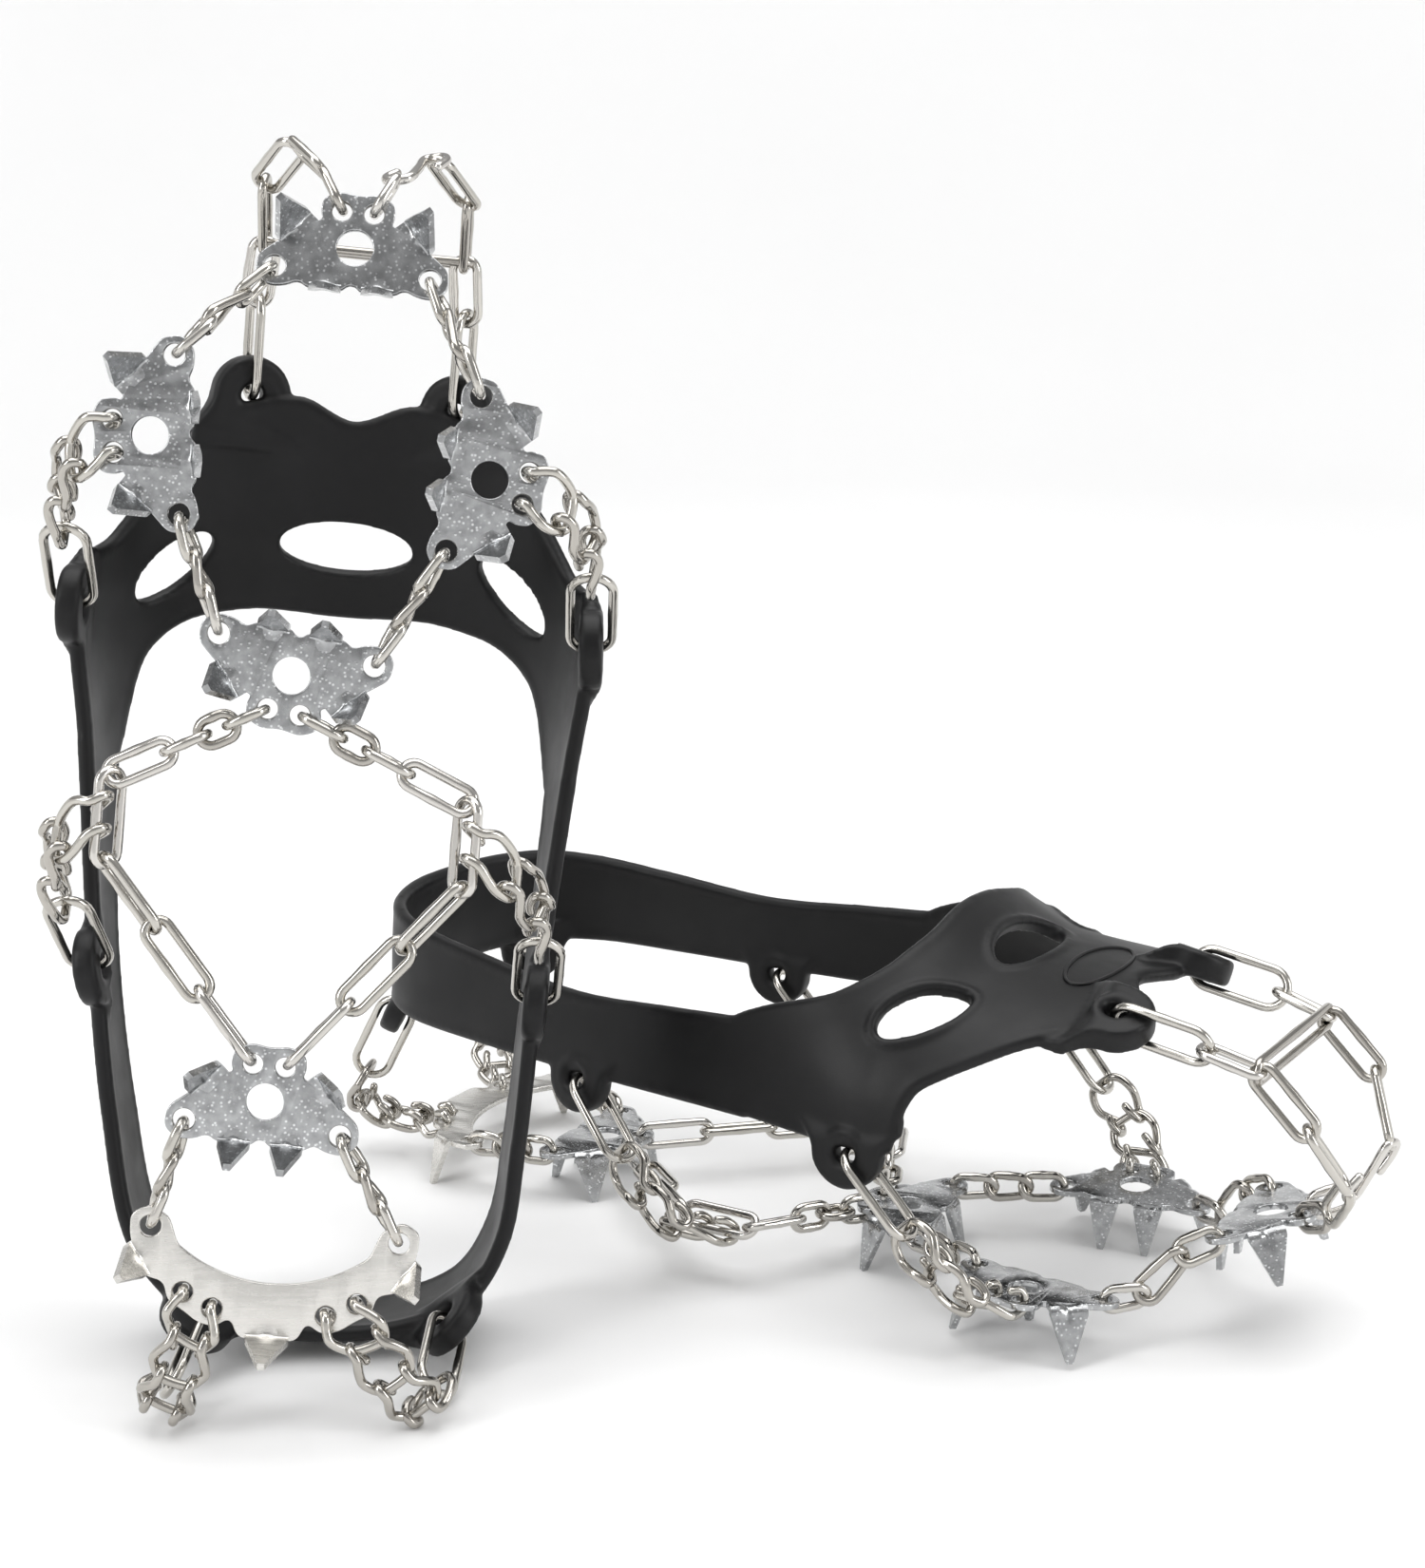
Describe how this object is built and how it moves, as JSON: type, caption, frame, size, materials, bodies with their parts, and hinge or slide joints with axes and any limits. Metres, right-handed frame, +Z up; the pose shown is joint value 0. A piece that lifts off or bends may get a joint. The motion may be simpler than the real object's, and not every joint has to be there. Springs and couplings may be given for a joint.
{
  "type": "shoe ice cleats",
  "caption": "Pair of stretch-on ice cleats: rubber harness, chain and ladder net, stamped spike plates; the left of the pair stands on its heel, the right lies flat.",
  "frame": {"origin": "middle of the pair on the ground: centre of the bounding box, at its bottom", "axes": "+Z up, +X to the right of the pair as seen from the front, where the soles of the upright cleat show, +Y away from that viewer. The flat cleat points its toe to +X and 31 degrees towards the viewer; the upright one points its toe up"},
  "size_m": [0.329, 0.2482, 0.2918],
  "materials": {
    "rubber": "matte moulded",
    "galvanised_steel": "galvanised, finely speckled",
    "satin_steel": "satin",
    "chain_steel": "bright tumbled wire"
  },
  "bodies": {
    "flat_harness_and_net": {"flat_harness": "rubber", "flat_chain_toe": "chain_steel", "flat_chain_toe_to_ball_left": "chain_steel", "flat_chain_toe_to_ball_right": "chain_steel", "flat_chain_ball_to_arch_left": "chain_steel", "flat_chain_ball_to_arch_right": "chain_steel", "flat_chain_side_left": "chain_steel", "flat_chain_side_right": "chain_steel", "flat_chain_waist_to_heel_left": "chain_steel", "flat_chain_waist_to_heel_right": "chain_steel"},
    "flat_toe_plate": {"flat_toe_plate": "galvanised_steel"},
    "flat_ball_left_plate": {"flat_ball_left_plate": "galvanised_steel"},
    "flat_ball_right_plate": {"flat_ball_right_plate": "galvanised_steel"},
    "flat_arch_plate": {"flat_arch_plate": "galvanised_steel"},
    "flat_waist_plate": {"flat_waist_plate": "galvanised_steel"},
    "flat_heel_plate": {"flat_heel_plate": "satin_steel"},
    "flat_ladder_ball_left": {"flat_ladder_ball_left": "chain_steel"},
    "flat_ladder_ball_right": {"flat_ladder_ball_right": "chain_steel"},
    "flat_ladder_waist_left": {"flat_ladder_waist_left": "chain_steel"},
    "flat_ladder_waist_right": {"flat_ladder_waist_right": "chain_steel"},
    "flat_ladder_heel_left": {"flat_ladder_heel_left": "chain_steel"},
    "flat_ladder_heel_right": {"flat_ladder_heel_right": "chain_steel"},
    "flat_ring_toe_left": {"flat_ring_toe_left": "chain_steel"},
    "flat_ring_toe_right": {"flat_ring_toe_right": "chain_steel"},
    "flat_ring_ball_left": {"flat_ring_ball_left": "chain_steel"},
    "flat_ring_ball_right": {"flat_ring_ball_right": "chain_steel"},
    "flat_ring_waist_left": {"flat_ring_waist_left": "chain_steel"},
    "flat_ring_waist_right": {"flat_ring_waist_right": "chain_steel"},
    "flat_ring_heel_left": {"flat_ring_heel_left": "chain_steel"},
    "flat_ring_heel_right": {"flat_ring_heel_right": "chain_steel"},
    "upright_harness_and_net": {"upright_harness": "rubber", "upright_chain_toe": "chain_steel", "upright_chain_toe_to_ball_left": "chain_steel", "upright_chain_toe_to_ball_right": "chain_steel", "upright_chain_ball_to_arch_left": "chain_steel", "upright_chain_ball_to_arch_right": "chain_steel", "upright_chain_side_left": "chain_steel", "upright_chain_side_right": "chain_steel", "upright_chain_waist_to_heel_left": "chain_steel", "upright_chain_waist_to_heel_right": "chain_steel"},
    "upright_toe_plate": {"upright_toe_plate": "galvanised_steel"},
    "upright_ball_left_plate": {"upright_ball_left_plate": "galvanised_steel"},
    "upright_ball_right_plate": {"upright_ball_right_plate": "galvanised_steel"},
    "upright_arch_plate": {"upright_arch_plate": "galvanised_steel"},
    "upright_waist_plate": {"upright_waist_plate": "galvanised_steel"},
    "upright_heel_plate": {"upright_heel_plate": "satin_steel"},
    "upright_ladder_ball_left": {"upright_ladder_ball_left": "chain_steel"},
    "upright_ladder_ball_right": {"upright_ladder_ball_right": "chain_steel"},
    "upright_ladder_waist_left": {"upright_ladder_waist_left": "chain_steel"},
    "upright_ladder_waist_right": {"upright_ladder_waist_right": "chain_steel"},
    "upright_ladder_heel_left": {"upright_ladder_heel_left": "chain_steel"},
    "upright_ladder_heel_right": {"upright_ladder_heel_right": "chain_steel"},
    "upright_ring_toe_left": {"upright_ring_toe_left": "chain_steel"},
    "upright_ring_toe_right": {"upright_ring_toe_right": "chain_steel"},
    "upright_ring_ball_left": {"upright_ring_ball_left": "chain_steel"},
    "upright_ring_ball_right": {"upright_ring_ball_right": "chain_steel"},
    "upright_ring_waist_left": {"upright_ring_waist_left": "chain_steel"},
    "upright_ring_waist_right": {"upright_ring_waist_right": "chain_steel"},
    "upright_ring_heel_left": {"upright_ring_heel_left": "chain_steel"},
    "upright_ring_heel_right": {"upright_ring_heel_right": "chain_steel"}
  },
  "joints": [
    {"name": "upright_lift", "type": "slide", "parent": "flat_harness_and_net", "child": "upright_harness_and_net", "axis": [0, 0, 1], "range_m": [0, 0.2]},
    {"name": "flat_toe_plate_rock", "type": "hinge", "parent": "flat_harness_and_net", "child": "flat_toe_plate", "pos_m": [0.12753, -0.04925, 0.02877], "axis": [-0.515, -0.8572, 0], "range_deg": [-1.1, 3]},
    {"name": "flat_ball_right_plate_rock", "type": "hinge", "parent": "flat_harness_and_net", "child": "flat_ball_right_plate", "pos_m": [0.07433, -0.05818, 0.0135], "axis": [-0.7986, 0.6018, 0], "range_deg": [-1.1, 2.6]},
    {"name": "flat_ball_left_plate_rock", "type": "hinge", "parent": "flat_harness_and_net", "child": "flat_ball_left_plate", "pos_m": [0.10523, -0.00134, 0.0135], "axis": [0.9205, -0.3907, 0], "range_deg": [-1.7, 2.1]},
    {"name": "flat_arch_plate_rock", "type": "hinge", "parent": "flat_harness_and_net", "child": "flat_arch_plate", "pos_m": [0.05088, -0.00853, 0.01282], "axis": [0.4067, 0.9135, 0], "range_deg": [-1.7, 3]},
    {"name": "flat_waist_plate_rock", "type": "hinge", "parent": "flat_harness_and_net", "child": "flat_waist_plate", "pos_m": [-0.04249, 0.04858, 0.01282], "axis": [-0.4848, -0.8746, 0], "range_deg": [-2.1, 3]},
    {"name": "flat_heel_plate_rock", "type": "hinge", "parent": "flat_harness_and_net", "child": "flat_heel_plate", "pos_m": [-0.06097, 0.06541, 0.01282], "axis": [-0.515, -0.8572, 0], "range_deg": [-0.8, 2.6]},
    {"name": "flat_ladder_ball_left_swing", "type": "hinge", "parent": "flat_harness_and_net", "child": "flat_ladder_ball_left", "pos_m": [0.11083, 0.01187, 0.01475], "axis": [0.9205, -0.3907, 0], "range_deg": [-1.3, 3]},
    {"name": "flat_ladder_ball_right_swing", "type": "hinge", "parent": "flat_harness_and_net", "child": "flat_ladder_ball_right", "pos_m": [0.0657, -0.06964, 0.01475], "axis": [-0.7986, 0.6018, 0], "range_deg": [-2.1, 3]},
    {"name": "flat_ladder_waist_left_swing", "type": "hinge", "parent": "flat_harness_and_net", "child": "flat_ladder_waist_left", "pos_m": [0.03775, 0.05059, 0.01256], "axis": [-0.8572, 0.515, 0], "range_deg": [-3, 1.7]},
    {"name": "flat_ladder_waist_right_swing", "type": "hinge", "parent": "flat_harness_and_net", "child": "flat_ladder_waist_right", "pos_m": [-0.00638, -0.02285, 0.01306], "axis": [-0.8572, 0.515, 0], "range_deg": [-2.1, 3]},
    {"name": "flat_ladder_heel_left_swing", "type": "hinge", "parent": "flat_harness_and_net", "child": "flat_ladder_heel_left", "pos_m": [-0.06651, 0.08793, 0.01282], "axis": [-0.8345, -0.5511, 0], "range_deg": [-3, 0.6]},
    {"name": "flat_ladder_heel_right_swing", "type": "hinge", "parent": "flat_harness_and_net", "child": "flat_ladder_heel_right", "pos_m": [-0.08345, 0.05973, 0.01282], "axis": [0.0948, 0.9955, 0], "range_deg": [-0.4, 3]},
    {"name": "flat_ring_toe_left_swing", "type": "hinge", "parent": "flat_harness_and_net", "child": "flat_ring_toe_left", "pos_m": [0.1175, -0.01347, 0.08309], "axis": [0.3208, 0.2257, 0.9199], "range_deg": [-1.7, 1.1]},
    {"name": "flat_ring_toe_right_swing", "type": "hinge", "parent": "flat_harness_and_net", "child": "flat_ring_toe_right", "pos_m": [0.09072, -0.05805, 0.08309], "axis": [-0.0487, -0.3892, 0.9199], "range_deg": [-0.8, 1.3]},
    {"name": "flat_ring_ball_left_swing", "type": "hinge", "parent": "flat_harness_and_net", "child": "flat_ring_ball_left", "pos_m": [0.08975, 0.04636, 0.04902], "axis": [0.5724, 0.8197, -0.0204], "range_deg": [-3.4, 3.4]},
    {"name": "flat_ring_ball_right_swing", "type": "hinge", "parent": "flat_harness_and_net", "child": "flat_ring_ball_right", "pos_m": [0.0264, -0.05907, 0.04902], "axis": [-0.5156, -0.8552, 0.0527], "range_deg": [-3.4, 3.4]},
    {"name": "flat_ring_waist_left_swing", "type": "hinge", "parent": "flat_harness_and_net", "child": "flat_ring_waist_left", "pos_m": [0.01295, 0.08551, 0.04902], "axis": [0.5055, 0.8626, -0.0211], "range_deg": [-3.4, 3.4]},
    {"name": "flat_ring_waist_right_swing", "type": "hinge", "parent": "flat_harness_and_net", "child": "flat_ring_waist_right", "pos_m": [-0.04165, -0.00534, 0.04902], "axis": [-0.6697, -0.733, 0.1189], "range_deg": [-3.4, 3.4]},
    {"name": "flat_ring_heel_left_swing", "type": "hinge", "parent": "flat_harness_and_net", "child": "flat_ring_heel_left", "pos_m": [-0.06198, 0.1142, 0.04702], "axis": [-0.1192, 0.9706, 0.2092], "range_deg": [-3.4, 3.4]},
    {"name": "flat_ring_heel_right_swing", "type": "hinge", "parent": "flat_harness_and_net", "child": "flat_ring_heel_right", "pos_m": [-0.09657, 0.0644, 0.04702], "axis": [-0.8965, 0.05, 0.4401], "range_deg": [-3.4, 3.4]},
    {"name": "upright_toe_plate_rock", "type": "hinge", "parent": "upright_harness_and_net", "child": "upright_toe_plate", "pos_m": [-0.08966, -0.05269, 0.26101], "axis": [-0.9938, -0.0488, 0.0996], "range_deg": [-1.1, 3]},
    {"name": "upright_ball_right_plate_rock", "type": "hinge", "parent": "upright_harness_and_net", "child": "upright_ball_right_plate", "pos_m": [-0.12717, -0.07663, 0.2269], "axis": [0.0148, -0.1696, -0.9854], "range_deg": [-1.1, 2.6]},
    {"name": "upright_ball_left_plate_rock", "type": "hinge", "parent": "upright_harness_and_net", "child": "upright_ball_left_plate", "pos_m": [-0.06319, -0.07397, 0.21773], "axis": [0.2271, 0.1807, 0.957], "range_deg": [-1.7, 2.1]},
    {"name": "upright_arch_plate_rock", "type": "hinge", "parent": "upright_harness_and_net", "child": "upright_arch_plate", "pos_m": [-0.10092, -0.08383, 0.17921], "axis": [0.9755, 0.027, -0.2183], "range_deg": [-1.7, 3]},
    {"name": "upright_waist_plate_rock", "type": "hinge", "parent": "upright_harness_and_net", "child": "upright_waist_plate", "pos_m": [-0.10988, -0.10301, 0.07182], "axis": [-0.9901, -0.0426, 0.1337], "range_deg": [-2.1, 3]},
    {"name": "upright_heel_plate_rock", "type": "hinge", "parent": "upright_harness_and_net", "child": "upright_heel_plate", "pos_m": [-0.10719, -0.10708, 0.04731], "axis": [-0.9938, -0.0488, 0.0996], "range_deg": [-0.8, 2.6]},
    {"name": "upright_ladder_ball_left_swing", "type": "hinge", "parent": "upright_harness_and_net", "child": "upright_ladder_ball_left", "pos_m": [-0.04933, -0.07239, 0.21414], "axis": [0.2271, 0.1807, 0.957], "range_deg": [-1.3, 3]},
    {"name": "upright_ladder_ball_right_swing", "type": "hinge", "parent": "upright_harness_and_net", "child": "upright_ladder_ball_right", "pos_m": [-0.14157, -0.07635, 0.22664], "axis": [0.0148, -0.1696, -0.9854], "range_deg": [-2.1, 3]},
    {"name": "upright_ladder_waist_left_swing", "type": "hinge", "parent": "upright_harness_and_net", "child": "upright_ladder_waist_left", "pos_m": [-0.06101, -0.08927, 0.13399], "axis": [-0.0896, -0.1757, -0.9804], "range_deg": [-3, 1.7]},
    {"name": "upright_ladder_waist_right_swing", "type": "hinge", "parent": "upright_harness_and_net", "child": "upright_ladder_waist_right", "pos_m": [-0.14619, -0.09296, 0.14244], "axis": [-0.0896, -0.1757, -0.9804], "range_deg": [-2.1, 3]},
    {"name": "upright_ladder_heel_left_swing", "type": "hinge", "parent": "upright_harness_and_net", "child": "upright_ladder_heel_left", "pos_m": [-0.09231, -0.10915, 0.02964], "axis": [-0.9352, -0.1198, -0.3331], "range_deg": [-3, 0.6]},
    {"name": "upright_ladder_heel_right_swing", "type": "hinge", "parent": "upright_harness_and_net", "child": "upright_ladder_heel_right", "pos_m": [-0.12501, -0.11075, 0.03292], "axis": [0.8579, -0.0318, -0.5128], "range_deg": [-0.4, 3]},
    {"name": "upright_ring_toe_left_swing", "type": "hinge", "parent": "upright_harness_and_net", "child": "upright_ring_toe_left", "pos_m": [-0.07028, -0.00279, 0.22273], "axis": [0.3106, 0.9498, -0.0366], "range_deg": [-1.7, 1.1]},
    {"name": "upright_ring_toe_right_swing", "type": "hinge", "parent": "upright_harness_and_net", "child": "upright_ring_toe_right", "pos_m": [-0.12196, -0.00533, 0.22791], "axis": [-0.4023, 0.9148, 0.0348], "range_deg": [-0.8, 1.3]},
    {"name": "upright_ring_ball_left_swing", "type": "hinge", "parent": "upright_harness_and_net", "child": "upright_ring_ball_left", "pos_m": [-0.03618, -0.04408, 0.17131], "axis": [0.9988, 0.0406, -0.0288], "range_deg": [-3.4, 3.4]},
    {"name": "upright_ring_ball_right_swing", "type": "hinge", "parent": "upright_harness_and_net", "child": "upright_ring_ball_right", "pos_m": [-0.15842, -0.05008, 0.18356], "axis": [-0.996, 0.0028, 0.089], "range_deg": [-3.4, 3.4]},
    {"name": "upright_ring_waist_left_swing", "type": "hinge", "parent": "upright_harness_and_net", "child": "upright_ring_waist_left", "pos_m": [-0.04985, -0.05948, 0.0876], "axis": [0.9939, 0.0261, -0.1068], "range_deg": [-3.4, 3.4]},
    {"name": "upright_ring_waist_right_swing", "type": "hinge", "parent": "upright_harness_and_net", "child": "upright_ring_waist_right", "pos_m": [-0.1552, -0.06465, 0.09815], "axis": [-0.9926, 0.0349, -0.116], "range_deg": [-3.4, 3.4]},
    {"name": "upright_ring_heel_left_swing", "type": "hinge", "parent": "upright_harness_and_net", "child": "upright_ring_heel_left", "pos_m": [-0.07071, -0.076, 0.01188], "axis": [0.6982, 0.1375, -0.7026], "range_deg": [-3.4, 3.4]},
    {"name": "upright_ring_heel_right_swing", "type": "hinge", "parent": "upright_harness_and_net", "child": "upright_ring_heel_right", "pos_m": [-0.1312, -0.07966, 0.01399], "axis": [-0.5162, 0.2728, -0.8118], "range_deg": [-3.4, 3.4]}
  ]
}
